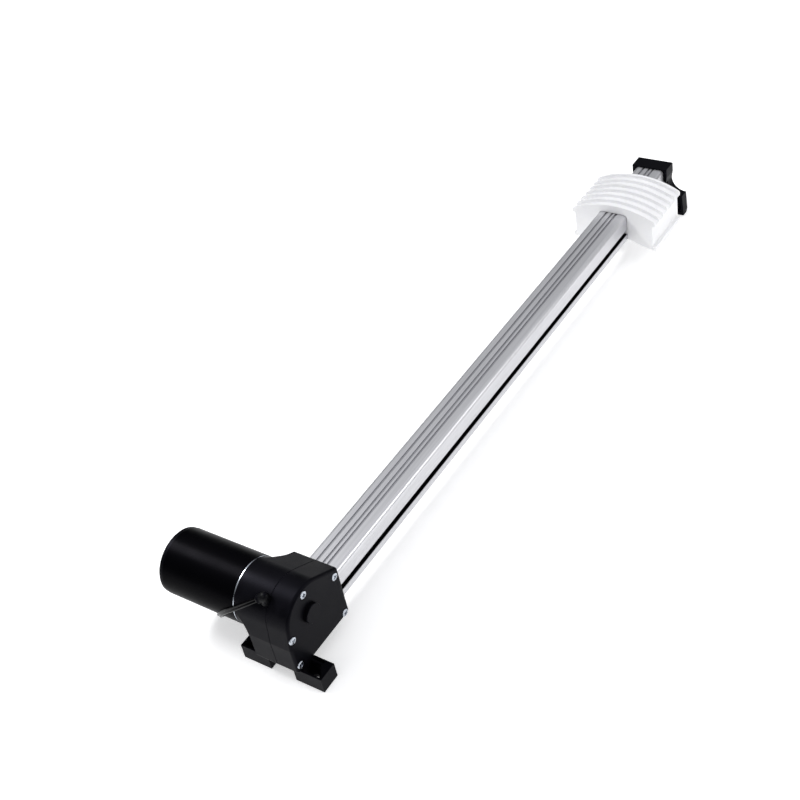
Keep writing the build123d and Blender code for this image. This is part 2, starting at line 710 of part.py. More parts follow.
def limit_switches():
    roof = CHANNEL_ROOF - STRIP_T
    switches = []
    for x in (SWITCH_NEAR, SWITCH_FAR):
        body = block(x, x + SWITCH_LENGTH, -STRIP_HALF + 1, STRIP_HALF - 3, roof - SWITCH_H, roof)
        middle = x + SWITCH_LENGTH / 2
        button = block(middle - 1, middle + 1, -1.5, 0.5, roof - SWITCH_H - 0.8, roof - SWITCH_H)
        switches.append(body + button)
    return Compound(switches)


# Slider


def slider_outline(inset):
    """Slider seen along the rail: arched top, a wing on each side, a leg beside the rail."""
    top, bottom = SLIDER_WING_TOP - inset, SLIDER_WING_BOTTOM
    wing = SLIDER_WING_Y - 0.3 * inset
    web = SLIDER_WING_Y - SLIDER_WEB_INSET
    shelf = SLIDER_WING_TOP - SLIDER_FLANGE_H
    foot = SLIDER_WING_BOTTOM + SLIDER_FLANGE_H
    arch = ThreePointArc((wing, top), (0, SLIDER_TOP - inset), (-wing, top))
    leg = -SLIDER_LEG_Y
    out, up = SLIDER_SWEEP
    low_left = ThreePointArc((leg, SLIDER_LEG_BOTTOM), (leg - out, up), (-SLIDER_WING_Y, bottom))
    low_right = ThreePointArc((SLIDER_WING_Y, bottom), (-leg + out, up), (-leg, SLIDER_LEG_BOTTOM))
    left = Polyline(
        (-wing, top),
        (-wing, shelf),
        (-web, shelf - 1),
        (-web, foot + 1),
        (-SLIDER_WING_Y, foot),
        (-SLIDER_WING_Y, bottom),
    )
    right = mirror(left, about=Plane.YZ)
    under = Line((leg, SLIDER_LEG_BOTTOM), (-leg, SLIDER_LEG_BOTTOM))
    return make_face(Curve() + [arch, left, low_left, under, low_right, right])


def slider_bay(inset):
    """Hollow of one bay between two ribs, left of the rail, open from below."""
    inner = -(RAIL_HALF + SLIDE_GAP + SLIDER_CHEEK)
    outer = -(SLIDER_WING_Y - SLIDER_WEB_INSET - SLIDER_SKIN)
    roof_in = SLIDER_TOP - inset - SLIDER_SKIN - 2.5
    roof_out = SLIDER_WING_TOP - inset - SLIDER_SKIN + 1
    return polygon((inner, roof_in - 1), (outer, roof_out), (outer, 10), (inner, 10))


def slider():
    """White sliding block: ribs across an arched saddle with pockets underneath."""
    full = slider_outline(0)
    shoulders = [corner for corner in full.vertices() if abs(corner.Y - SLIDER_WING_TOP) < 0.01]
    body = prism_x(fillet(shoulders, SLIDER_CORNER_R), SLIDER_FRONT, SLIDER_BACK)
    pitch = (SLIDER_LENGTH - SLIDER_RIB) / SLIDER_GROOVES
    low = slider_outline(SLIDER_GROOVE_DEPTH)
    groove = full - low
    roof_zone = rect(-60, 60, SLIDER_WING_TOP - SLIDER_FLANGE_H, SLIDER_TOP + 1)
    groove = groove & roof_zone
    bay = slider_bay(SLIDER_GROOVE_DEPTH)
    for index in range(SLIDER_GROOVES):
        x0 = SLIDER_FRONT + SLIDER_RIB + index * pitch
        x1 = x0 + pitch - SLIDER_RIB
        body -= prism_x(groove, x0, x1)
        body -= both_sides(prism_x(bay, x0, x1))
    passage = rail_envelope(SLIDE_GAP)
    passage += rect(-SLIDER_LEG_Y - 1, SLIDER_LEG_Y + 1, 10, RAIL_BOTTOM + 3) & rect(
        -RAIL_HALF - SLIDE_GAP, RAIL_HALF + SLIDE_GAP, 10, RAIL_BOTTOM + 3
    )
    body -= prism_x(passage, SLIDER_FRONT - 1, SLIDER_BACK + 1)
    for side in (-1, 1):
        y = sorted((side * (RAIL_HALF - SIDE_SLOT_DEPTH + 2 * SLIDE_GAP), side * (RAIL_HALF + SLIDE_GAP + 1)))
        tongue = rect(*y, SIDE_SLOT_Z + SLIDE_GAP, SIDE_SLOT_Z + SIDE_SLOT_H - SLIDE_GAP)
        body += prism_x(tongue, SLIDER_FRONT, SLIDER_BACK)
    reach = BRIDGE_LENGTH / 2
    half = RAIL_HALF + SLIDE_GAP + SLIDER_CHEEK
    x0, x1 = SLIDER_MID - reach, SLIDER_MID + reach
    body += block(x0, x1, -half, half, BRIDGE_TOP - BRIDGE_H, BRIDGE_TOP)
    body += both_sides(block(x0, x1, -half, -half + SLIDER_CHEEK, BRIDGE_TOP - 1, SLIDER_LEG_BOTTOM + 3))
    socket = NECK_HALF + SEAT_GAP
    reach -= 3 - SEAT_GAP
    body -= block(SLIDER_MID - reach, SLIDER_MID + reach, -socket, socket, BRIDGE_TOP - NECK_SINK, BRIDGE_TOP + 1)
    for x in nut_screw_places():
        body -= rod_z(SMALL_SCREW[0] + SEAT_GAP, 10, BRIDGE_TOP, x, 0)
        body -= rod_z(SMALL_SCREW[1] + SEAT_GAP, 10, BRIDGE_TOP - BRIDGE_H + SMALL_SCREW[2], x, 0)
    return body


# Far end cap


def cap_outline(inset):
    """End cap seen along the rail, drawn in by an inset for its hollow."""
    waist, flare = CAP_WAIST_Y - inset, CAP_FLARE_Y - inset
    top = CAP_TOP - inset
    right = Polyline((0, top), (CAP_HALF - inset, top), (CAP_HALF - inset, CAP_WAIST_Z + 8), (waist, CAP_WAIST_Z))
    out, up = CAP_SWEEP
    sweep_out = ThreePointArc((waist, CAP_WAIST_Z), (waist + out, up - inset), (flare, CAP_FLARE_Z - inset))
    foot = Polyline((flare, CAP_FLARE_Z - inset), (CAP_FOOT_OUTER - inset, 0), (0, 0))
    half = Curve() + [right, sweep_out, foot]
    return make_face(half + mirror(half, about=Plane.YZ))


def end_cap():
    """Cap that closes the rail and stands on two hollow feet."""
    foot_front = CAP_BACK - CAP_FOOT_LENGTH
    body = prism_x(cap_outline(0), foot_front, CAP_BACK)
    toe = body.edges().filter_by(Axis.Y).group_by(Axis.Z)[0].sort_by(Axis.X)[-1]
    body = chamfer(toe, CAP_TOE_CHAMFER)
    band = cap_outline(0) & rect(-60, 60, CAP_WAIST_Z, CAP_TOP + 1)
    body += prism_x(band, CAP_FRONT, foot_front + 1)
    hollow = cap_outline(CAP_WALL) & rect(-60, 60, CAP_FOOT_FLOOR, RAIL_BOTTOM + 4)
    body -= prism_x(hollow, foot_front - 1, CAP_BACK - CAP_BACK_WALL)
    body -= prism_x(rail_envelope(SEAT_GAP), CAP_FRONT - 1, RAIL_END + SEAT_GAP)
    arch = rect(-CAP_FOOT_INNER, CAP_FOOT_INNER, -1, RAIL_BOTTOM - CAP_WALL - 1)
    arch = fillet(arch.vertices().group_by(Axis.Y)[-1], 6)
    body -= prism_x(arch, foot_front - 1, CAP_BACK + 1)
    ribs = rect(CAP_FOOT_INNER, CAP_FOOT_INNER + CAP_WALL, 0, CAP_FLARE_Z)
    body += both_sides(prism_x(ribs, foot_front, CAP_BACK - 1))
    for side in (-1, 1):
        body -= rod_z(FOOT_HOLE_R, -1, CAP_FOOT_FLOOR + 1, CAP_HOLE_X, side * CAP_HOLE_Y)
        body -= rod_x(SMALL_SCREW[0] + SEAT_GAP, RAIL_END - 1, CAP_BACK + 1, side * PORT_Y, PORT_Z)
    bush_r = FRONT_BEARING[0] + RUNNING_GAP + END_BUSH_WALL
    body += tube_x(bush_r + PRESS_GAP, CAP_SPIGOT_R, SCREW_THREAD_END + 5, RAIL_END + 1)
    return body


def end_bush():
    """Plain bush in the cap for the end of the lead screw."""
    bore = FRONT_BEARING[0] + RUNNING_GAP
    return tube_x(bore, bore + END_BUSH_WALL, SCREW_THREAD_END + 5, RAIL_END + SEAT_GAP)


def end_cap_screws():
    screws = []
    shank, head_r, head_h = SMALL_SCREW
    for side in (-1, 1):
        head = rod_x(head_r, CAP_BACK, CAP_BACK + head_h, side * PORT_Y, PORT_Z)
        head = chamfer(head.faces().sort_by(Axis.X)[-1].edges(), 0.35 * head_h)
        screws.append(head + rod_x(shank, RAIL_END - 12, CAP_BACK, side * PORT_Y, PORT_Z))
    return Compound(screws)


# Motor


def motor_front_plate():
    """Bright plate between gearbox and motor, with the hub of the front bearing."""
    plate = rod_y(MOTOR_R - FLANGE_INSET, MOTOR_START, CAN_START)
    hub_start = MOTOR_BEARING_Y - 0.6
    plate += rod_y(FLANGE_HUB_R, hub_start, CAN_START)
    plate -= rod_y(MOTOR_BEARING[1] + PRESS_GAP, MOTOR_BEARING_Y, CAN_START + 1)
    plate -= rod_y(MOTOR_BEARING[1] - 2, hub_start - 1, CAN_START)
    for x in motor_screw_places():
        plate -= rod_y(SMALL_SCREW[0] + PRESS_GAP, MOTOR_START - 1, CAN_START + 1, x)
    return plate


def motor_can():
    return tube_y(CAN_BORE_R, MOTOR_R, CAN_START, CAN_END)


def motor_end_bell():
    """Cover on the free end, with vents round its hub."""
    bell = rod_y(BELL_R, CAN_END, BELL_END)
    bell = chamfer(bell.faces().sort_by(Axis.Y)[-1].edges(), 1.2)
    bell += tube_y(CAN_BORE_R - 2, CAN_BORE_R - PRESS_GAP, CAN_END - BELL_SPIGOT, CAN_END)
    bell += rod_y(BELL_HUB_R, BELL_BEARING_Y, BELL_END + BELL_HUB_H)
    bell -= rod_y(MOTOR_BEARING[1] + PRESS_GAP, BELL_BEARING_Y - 1, BELL_BEARING_Y + MOTOR_BEARING[2])
    vent = SlotArc(CenterArc((0, 0), 20, -22, 44), 4)
    vents = Sketch() + [Pos(WORM_X, WORM_Z) * Rot(0, 0, 90 * quarter + 45) * vent for quarter in range(4)]
    return bell - prism_y(vents, CAN_END - 1, BELL_END + 1)


def motor_magnets():
    """Two curved magnets inside the can."""
    ring = Circle(CAN_BORE_R - PRESS_GAP) - Circle(CAN_BORE_R - MAGNET_T)
    spread = math.radians(MAGNET_ANGLE / 2)
    far = 2 * MOTOR_R
    wedge = polygon((0, 0), (far, -far * math.tan(spread / 2)), (far, far * math.tan(spread / 2)))
    slices = []
    for turn in (0, 180):
        left = Rot(0, 0, turn + MAGNET_ANGLE / 4) * wedge
        right = Rot(0, 0, turn - MAGNET_ANGLE / 4) * wedge
        arc = ring & (left + right)
        slices.append(prism_y(Pos(WORM_X, WORM_Z) * arc, STACK_START - 3, STACK_START + STACK_LENGTH + 3))
    return Compound(slices)


def slot_ring(r, count=ARMATURE_SLOTS):
    """Round slot pockets of the armature."""
    step = 360 / count
    return Sketch() + [Rot(0, 0, step * i) * Pos(SLOT_ROOT_R, 0) * Circle(r) for i in range(count)]


def armature():
    """Laminated stack with slots that open to its rim."""
    step = 360 / ARMATURE_SLOTS
    mouth = rect(SLOT_ROOT_R, ARMATURE_R + 1, -SLOT_MOUTH / 2, SLOT_MOUTH / 2)
    outline = Circle(ARMATURE_R) - Circle(SHAFT_R + PRESS_GAP) - slot_ring(SLOT_POCKET_R)
    outline -= Sketch() + [Rot(0, 0, step * i) * mouth for i in range(ARMATURE_SLOTS)]
    return prism_y(Pos(WORM_X, WORM_Z) * outline, STACK_START, STACK_START + STACK_LENGTH)


def armature_windings():
    """Copper heads at both ends of the stack, joined through its slots."""
    back = STACK_START + STACK_LENGTH
    coils = prism_y(Pos(WORM_X, WORM_Z) * slot_ring(SLOT_POCKET_R - SEAT_GAP), STACK_START - 1, back + 1)
    inner = SHAFT_R + 2
    for y0, crown in ((STACK_START - WINDING_LENGTH, 0), (back + PRESS_GAP, -1)):
        head = tube_y(inner, WINDING_R, y0, y0 + WINDING_LENGTH - PRESS_GAP)
        face = head.faces().filter_by(GeomType.PLANE).sort_by(Axis.Y)[crown]
        coils += chamfer(face.edges().sort_by(SortBy.LENGTH)[-1:], 0.45 * WINDING_LENGTH)
    return coils


def commutator():
    """Copper segments on the shaft, parted by narrow slits."""
    step = 360 / ARMATURE_SLOTS
    slit = rect(COMMUTATOR_R - 1, COMMUTATOR_R + 1, -0.3, 0.3)
    outline = Circle(COMMUTATOR_R) - Circle(SHAFT_R + PRESS_GAP)
    outline -= Sketch() + [Rot(0, 0, step * i) * slit for i in range(ARMATURE_SLOTS)]
    return prism_y(Pos(WORM_X, WORM_Z) * outline, COMMUTATOR_Y, COMMUTATOR_Y + COMMUTATOR_LENGTH)


def motor_shaft():
    """Armature shaft whose thinner end carries the worm into the gearbox."""
    step = WORM_LENGTH / 2 + WORM_LEAD / 4
    front = WORM_BEARING_Y
    back = BELL_BEARING_Y + MOTOR_BEARING[2] - SEAT_GAP
    return rod_y(SHAFT_SEAT_R, front, step) + rod_y(SHAFT_R, step, back)


def brush_place():
    """Middle of the brushes along Y."""
    return COMMUTATOR_Y + COMMUTATOR_LENGTH / 2


def brush_blocks(gap, start, length):
    """The two brushes, grown by a gap, from a radius outwards."""
    half = BRUSH_SIZE / 2 + gap
    y = brush_place()
    near = block(WORM_X + start, WORM_X + start + length, y - half, y + half, WORM_Z - half, WORM_Z + half)
    far = block(WORM_X - start - length, WORM_X - start, y - half, y + half, WORM_Z - half, WORM_Z + half)
    return near, far


def brush_holder():
    """Disc in the can with a guide box for each brush."""
    y = brush_place()
    disc = tube_y(COMMUTATOR_R + 2, CAN_BORE_R - PRESS_GAP, y - BRUSH_DISC_T / 2, y + BRUSH_DISC_T / 2)
    start = COMMUTATOR_R + 3
    near, far = brush_blocks(BRUSH_WALL, start, BRUSH_LENGTH)
    holder = disc + near + far
    for hole in brush_blocks(SEAT_GAP, COMMUTATOR_R, BRUSH_LENGTH + 4):
        holder -= hole
    return holder


def brushes():
    return Compound(list(brush_blocks(0, COMMUTATOR_R + 0.3, BRUSH_LENGTH + 1)))


# Motor lead


def lead_points():
    """Route of the lead's middle line: round the motor, then down behind it."""
    wound = [around_motor(angle, LEAD_AXIS_R, y) for angle, y in LEAD_WOUND]
    return wound + [Vector(*point) for point in LEAD_FLOOR_RUN]


def lead_path():
    """Straight runs joined by tangent arcs as large as the runs allow."""
    points = lead_points()
    radii = []
    for before, here, after in zip(points, points[1:], points[2:]):
        turn = math.radians((here - before).get_angle(after - here))
        shorter = min((here - before).length, (after - here).length)
        radii.append(0.45 * shorter / math.tan(turn / 2))
    print("lead radii", [round(r, 1) for r in radii])
    return FilletPolyline(*points, radius=radii)


def motor_cable():
    path = lead_path()
    place = Plane(origin=path @ 0, z_dir=path % 0)
    cable = sweep(place * Circle(LEAD_R), path=path)
    print("lead length", round(path.length, 1), "fill", round(cable.volume / (math.pi * LEAD_R**2 * path.length), 4))
    return cable


def cable_grommet():
    """Rubber bush that the lead leaves the housing through."""
    return lead_exit(GROMMET_R, GROMMET_LENGTH, 0)


def cable_plug():
    """Two-pole connector on the free end of the lead, lying on the floor."""
    last, tip = lead_points()[-2:]
    way = (tip - last).normalized()
    width, length, height = PLUG_SIZE
    place = Plane(origin=(tip.X, tip.Y, 0), z_dir=(0, 0, 1), x_dir=(way.X, way.Y, 0))
    body = Box(length, width, height, align=(Align.MIN, Align.CENTER, Align.MIN))
    body = chamfer(body.edges().filter_by(Axis.X), 0.8)
    for side in (-1, 1):
        hole = Box(6, 3.4, 3.4, align=(Align.MAX, Align.CENTER, Align.CENTER))
        body -= Pos(length, side * width / 4, height / 2) * hole
    return place * body


SUB_PARTS = {
    "gear_cover": gear_cover,
    "gear_housing": gear_housing,
    "worm_cap": worm_cap,
    "cover_screws": cover_screws,
    "worm": worm,
    "worm_wheel": worm_wheel,
    "worm_end_bearing": lambda: bearing_y(WORM_BEARING, WORM_BEARING_Y, RUNNING_GAP),
    "screw_front_bearing": lambda: bearing_x(FRONT_BEARING, FRONT_BEARING_X, RUNNING_GAP),
    "screw_rear_bearing": lambda: bearing_x(REAR_BEARING, REAR_BEARING_X, RUNNING_GAP),
    "lead_screw": lead_screw,
    "screw_collar": screw_collar,
    "bump_stop_near": lambda: bump_stop(RAIL_START),
    "bump_stop_far": lambda: bump_stop(SCREW_THREAD_END - STOP_LENGTH),
    "drive_nut": drive_nut,
    "nut_screws": nut_screws,
    "rail": rail,
    "rail_clamp_screws": rail_clamp_screws,
    "switch_strip": switch_strip,
    "limit_switches": limit_switches,
    "slider": slider,
    "end_cap": end_cap,
    "end_bush": end_bush,
    "end_cap_screws": end_cap_screws,
    "motor_front_plate": motor_front_plate,
    "motor_front_bearing": lambda: bearing_y(MOTOR_BEARING, MOTOR_BEARING_Y, RUNNING_GAP),
    "motor_rear_bearing": lambda: bearing_y(MOTOR_BEARING, BELL_BEARING_Y, RUNNING_GAP),
    "motor_mount_screws": motor_mount_screws,
    "motor_can": motor_can,
    "motor_end_bell": motor_end_bell,
    "motor_magnets": motor_magnets,
    "armature": armature,
    "armature_windings": armature_windings,
    "commutator": commutator,
    "motor_shaft": motor_shaft,
    "brush_holder": brush_holder,
    "brushes": brushes,
    "cable_grommet": cable_grommet,
    "motor_cable": motor_cable,
    "cable_plug": cable_plug,
}

for part_name, make in SUB_PARTS.items():
    save(part_name, make())
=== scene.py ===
import json
import math

import bmesh
import bpy
from mathutils import Matrix, Vector


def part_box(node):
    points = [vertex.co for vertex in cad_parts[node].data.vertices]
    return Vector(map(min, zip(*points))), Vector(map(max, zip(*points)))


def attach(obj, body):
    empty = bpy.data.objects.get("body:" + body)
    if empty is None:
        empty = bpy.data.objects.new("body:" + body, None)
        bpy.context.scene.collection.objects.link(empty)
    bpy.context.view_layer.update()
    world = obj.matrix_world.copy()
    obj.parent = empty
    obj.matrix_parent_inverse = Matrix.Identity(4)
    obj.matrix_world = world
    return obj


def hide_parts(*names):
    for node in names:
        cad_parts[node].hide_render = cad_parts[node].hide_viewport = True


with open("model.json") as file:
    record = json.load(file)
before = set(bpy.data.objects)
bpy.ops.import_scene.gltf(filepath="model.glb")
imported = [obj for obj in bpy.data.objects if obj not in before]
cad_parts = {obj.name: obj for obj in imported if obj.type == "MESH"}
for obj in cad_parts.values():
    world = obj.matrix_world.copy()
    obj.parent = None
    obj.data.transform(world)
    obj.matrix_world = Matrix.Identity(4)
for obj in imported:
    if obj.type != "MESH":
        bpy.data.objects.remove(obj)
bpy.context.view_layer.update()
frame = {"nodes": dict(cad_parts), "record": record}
nodes = frame["nodes"]
MM = 0.001

# Camera: the photograph's viewpoint, fitted to the object's own edges
CAMERA_AT = (-0.46138, -0.58191, 0.87729)
CAMERA_HEADING = -49.60
CAMERA_TILT_DOWN = 39.69
CAMERA_ROLL = -12.04
CAMERA_LENS = 57.36

# Light of the surroundings at the horizon and overhead
HORIZON_LIGHT = 0.05
ZENITH_LIGHT = 0.92

# Motor lead, in millimetres: the part's route, drawn in closer to the can
WORM_X, WORM_Z = 22.3, 63
LEAD_R = 2.4
CORE_OVERLAP = 0.02
CORE_ARC = 320
# Angle round the motor, place along it and distance from its axis
LEAD_WOUND = (
    (132.6, 9, 34.8),
    (141, 16, 34.6),
    (152, 25, 33.5),
    (164.5, 35, 33.0),
    (176, 44.5, 33.0),
    (190, 53, 33.0),
    (205, 59, 33.0),
    (220, 63.5, 33.2),
    (235, 67, 34),
    (250, 71, 34.8),
)
LEAD_FLOOR_RUN = (
    (22, 75, 24.5),
    (34, 81, 17),
    (46, 88, 10),
    (58, 97, 4.5),
    (70, 108, 2.7),
    (80, 121, 2.7),
    (86, 136, 2.7),
    (87, 152, 2.7),
)
# Length in metres, as in the part's source
LEAD_LEAVES_Y = 50
LEAD_TURN_RUN = 50

# Boot, in millimetres: places along each branch from the elbow, with radii
BOOT_REACH = 7.4
BOOT_R = 4.45
BOOT_DOWN = (0.1, 0.06, -1)
BOOT_BALL_ANGLES = (0.04, 0.3, 0.55, 0.8, 1.05, 1.3)
BOOT_SLEEVE = ((0, BOOT_R), (2, 4.4), (4, 4.2), (5.6, 3.85), (6.8, 3.5), (7.6, 3.1), (8, 2.6))
BOOT_LEG = ((0, BOOT_R), (4, 4.42), (8, 4.3), (8.6, 3.9))

# Rail, in millimetres
RAIL_TOP = 62
RAIL_HALF = 17.5
RAIL_SLOT_Z = (37, 44)

# Lead screw thread, in millimetres
SCREW_R = 6
SCREW_Z = 42
SCREW_JOURNAL_R = 4
SCREW_SEAT_R = 5
SCREW_SEAT_X = 4
STEP = 0.1
THREAD_START, THREAD_END = 31.5, 762
THREAD_LEAD = 6
THREAD_DEPTH = 1.3

# Cover screws, in millimetres
COVER_SCREWS_XZ = ((60.2, 68.4), (20.1, 87.1), (-5.9, 56), (-5.9, 24), (60.6, 20.2))
COVER_SCREW_TURNS = (20, -12, 35, 8, 50)
COVER_SCREW = {"head_r": 3.9, "head_h": 2.3, "shank_r": 2, "length": 32}
END_CAP_SCREW = {"head_r": 3, "head_h": 1.8, "shank_r": 1.5, "length": 15}
END_CAP_SCREW_TURN = 25

# Softened edges, in millimetres
EDGES = {
    "gear_cover": 0.35,
    "gear_housing": 0.35,
    "worm_cap": 0.3,
    "slider": 0.35,
    "end_cap": 0.4,
    "rail": 0.18,
    "cable_plug": 0.3,
    "motor_end_bell": 0.3,
}


# Scene set-up


def make_camera():
    data = bpy.data.cameras.new("view")
    data.lens = CAMERA_LENS
    data.clip_start, data.clip_end = 0.01, 20
    camera = bpy.data.objects.new("view", data)
    heading = Matrix.Rotation(math.radians(CAMERA_HEADING), 4, "Z")
    tilt = Matrix.Rotation(math.radians(90 - CAMERA_TILT_DOWN), 4, "X")
    roll = Matrix.Rotation(math.radians(CAMERA_ROLL), 4, "Z")
    camera.matrix_world = Matrix.Translation(CAMERA_AT) @ heading @ tilt @ roll
    bpy.context.collection.objects.link(camera)
    bpy.context.scene.camera = camera


def area_light(name, at, target, size, power):
    data = bpy.data.lights.new(name, "AREA")
    data.shape = "RECTANGLE"
    data.size, data.size_y = size
    data.energy = power
    light = bpy.data.objects.new(name, data)
    light.location = at
    light.rotation_euler = (Vector(target) - Vector(at)).to_track_quat("-Z", "Y").to_euler()
    bpy.context.collection.objects.link(light)


def make_world():
    """Soft surroundings: bright overhead, dim near the horizon, pale where the camera sees them."""
    world = bpy.data.worlds.new("studio")
    world.use_nodes = True
    tree = world.node_tree
    background = tree.nodes["Background"]
    background.inputs["Color"].default_value = (0.96, 0.97, 1.0, 1)
    source = tree.nodes.new("ShaderNodeTexCoord")
    split = tree.nodes.new("ShaderNodeSeparateXYZ")
    height = tree.nodes.new("ShaderNodeMapRange")
    height.inputs["From Min"].default_value = 0.35
    height.inputs["From Max"].default_value = 0.8
    height.inputs["To Min"].default_value = HORIZON_LIGHT
    height.inputs["To Max"].default_value = ZENITH_LIGHT
    rays = tree.nodes.new("ShaderNodeLightPath")
    strength = tree.nodes.new("ShaderNodeMix")
    strength.inputs["B"].default_value = 1.0
    tree.links.new(source.outputs["Generated"], split.inputs[0])
    tree.links.new(split.outputs["Z"], height.inputs["Value"])
    tree.links.new(rays.outputs["Is Camera Ray"], strength.inputs["Factor"])
    tree.links.new(height.outputs["Result"], strength.inputs["A"])
    tree.links.new(strength.outputs["Result"], background.inputs["Strength"])
    bpy.context.scene.world = world
    bpy.context.scene.view_settings.view_transform = "Standard"


def make_studio():
    bpy.ops.mesh.primitive_plane_add(size=30, location=(0.35, 0, -0.0004))
    floor = bpy.context.object
    floor.name = "floor"
    material = bpy.data.materials.new("floor")
    material.use_nodes = True
    shader = material.node_tree.nodes["Principled BSDF"]
    shader.inputs["Base Color"].default_value = (0.9, 0.9, 0.9, 1)
    shader.inputs["Roughness"].default_value = 0.9
    shader.inputs["Specular IOR Level"].default_value = 0.1
    shader.inputs["Emission Color"].default_value = (1, 1, 1, 1)
    shader.inputs["Emission Strength"].default_value = 0.42
    floor.data.materials.append(material)
    area_light("key_soft", (0.02, 1.0, 1.3), (0.1, 0.05, 0.05), (0.6, 0.25), 14)
    area_light("left_soft", (-1.2, 0.1, 0.9), (0.0, 0.0, 0.05), (0.5, 0.35), 1.5)
    area_light("front_fill", (0.95, -1.2, 0.8), (0.5, 0, 0.05), (1.0, 0.6), 7.5)


# Materials


def surface(name, colour, roughness, metallic=0.0, **extra):
    """A new Principled material and its node tree; extra sets more sockets by name."""
    material = bpy.data.materials.new(name)
    material.use_nodes = True
    tree = material.node_tree
    shader = tree.nodes["Principled BSDF"]
    shader.inputs["Base Color"].default_value = (*colour, 1)
    shader.inputs["Roughness"].default_value = roughness
    shader.inputs["Metallic"].default_value = metallic
    for socket, value in extra.items():
        shader.inputs[socket.replace("_", " ")].default_value = value
    return material, tree, shader


def coordinates(tree, stretch=(1, 1, 1)):
    """Object coordinates, stretched per axis: a small number draws a grain out along it."""
    source = tree.nodes.new("ShaderNodeTexCoord")
    mapping = tree.nodes.new("ShaderNodeMapping")
    mapping.inputs["Scale"].default_value = stretch
    tree.links.new(source.outputs["Object"], mapping.inputs["Vector"])
    return mapping.outputs["Vector"]


def noise_field(tree, scale, detail=3.0, stretch=(1, 1, 1)):
    field = tree.nodes.new("ShaderNodeTexNoise")
    field.inputs["Scale"].default_value = scale
    field.inputs["Detail"].default_value = detail
    tree.links.new(coordinates(tree, stretch), field.inputs["Vector"])
    return field.outputs["Fac"]


def remap(tree, value, low, high, start=0.3, end=0.7):
    node = tree.nodes.new("ShaderNodeMapRange")
    node.inputs["From Min"].default_value = start
    node.inputs["From Max"].default_value = end
    node.inputs["To Min"].default_value = low
    node.inputs["To Max"].default_value = high
    tree.links.new(value, node.inputs["Value"])
    return node.outputs["Result"]


def vary_colour(tree, shader, value, dark, light):
    ramp = tree.nodes.new("ShaderNodeValToRGB")
    ramp.color_ramp.elements[0].position = 0.3
    ramp.color_ramp.elements[1].position = 0.7
    ramp.color_ramp.elements[0].color = (*dark, 1)
    ramp.color_ramp.elements[1].color = (*light, 1)
    tree.links.new(value, ramp.inputs["Fac"])
    tree.links.new(ramp.outputs["Color"], shader.inputs["Base Color"])


def bump(tree, shader, value, strength, distance):
    node = tree.nodes.new("ShaderNodeBump")
    node.inputs["Strength"].default_value = strength
    node.inputs["Distance"].default_value = distance
    tree.links.new(value, node.inputs["Height"])
    tree.links.new(node.outputs["Normal"], shader.inputs["Normal"])


def black_nylon():
    """Glass-filled nylon: fine spark-eroded grain and faint uneven gloss."""
    material, tree, shader = surface("black_nylon", (0.0025, 0.0025, 0.0035), 0.38, Specular_IOR_Level=0.045)
    shader.inputs["Specular Tint"].default_value = (0.76, 0.74, 1.0, 1)
    broad = noise_field(tree, 60, 2)
    fine = noise_field(tree, 2600, 2)
    vary_colour(tree, shader, broad, (0.0018, 0.0018, 0.0026), (0.0032, 0.0032, 0.0045))
    tree.links.new(remap(tree, broad, 0.33, 0.42), shader.inputs["Roughness"])
    bump(tree, shader, fine, 0.22, 0.00012)
    return material


def black_enamel():
    """Enamelled steel can: smooth, with a faint orange peel."""
    colour = (0.0008, 0.0008, 0.0012)
    material, tree, shader = surface("black_enamel", colour, 0.34, Specular_IOR_Level=0.018)
    shader.inputs["Specular Tint"].default_value = (0.84, 0.8, 1.0, 1)
    broad = noise_field(tree, 30, 2)
    peel = noise_field(tree, 900, 2)
    tree.links.new(remap(tree, broad, 0.31, 0.38), shader.inputs["Roughness"])
    bump(tree, shader, peel, 0.08, 0.0001)
    return material


def white_nylon():
    """Natural nylon moulding: satin, a little translucent, with soft mottling."""
    material, tree, shader = surface("white_nylon", (0.86, 0.86, 0.87), 0.42, Subsurface_Weight=0.15)
    shader.inputs["Subsurface Radius"].default_value = (0.004, 0.004, 0.0035)
    shader.inputs["Subsurface Scale"].default_value = 1.0
    broad = noise_field(tree, 45, 3)
    fine = noise_field(tree, 1800, 2)
    vary_colour(tree, shader, broad, (0.85, 0.85, 0.86), (0.89, 0.89, 0.90))
    tree.links.new(remap(tree, broad, 0.36, 0.46), shader.inputs["Roughness"])
    bump(tree, shader, fine, 0.1, 0.0001)
    return material


def between(tree, value, low, high):
    """One where a value lies between two limits, and zero elsewhere."""
    above = tree.nodes.new("ShaderNodeMath")
    above.operation = "GREATER_THAN"
    above.inputs[1].default_value = low
    below = tree.nodes.new("ShaderNodeMath")
    below.operation = "LESS_THAN"
    below.inputs[1].default_value = high
    both = tree.nodes.new("ShaderNodeMath")
    both.operation = "MULTIPLY"
    tree.links.new(value, above.inputs[0])
    tree.links.new(value, below.inputs[0])
    tree.links.new(above.outputs[0], both.inputs[0])
    tree.links.new(below.outputs[0], both.inputs[1])
    return both.outputs[0]


def tint(tree, base, colour, amount):
    """Mixes a colour over another by a mask."""
    mix = tree.nodes.new("ShaderNodeMix")
    mix.data_type = "RGBA"
    mix.inputs["B"].default_value = (*colour, 1)
    tree.links.new(amount, mix.inputs["Factor"])
    tree.links.new(base, mix.inputs["A"])
    return mix.outputs["Result"]


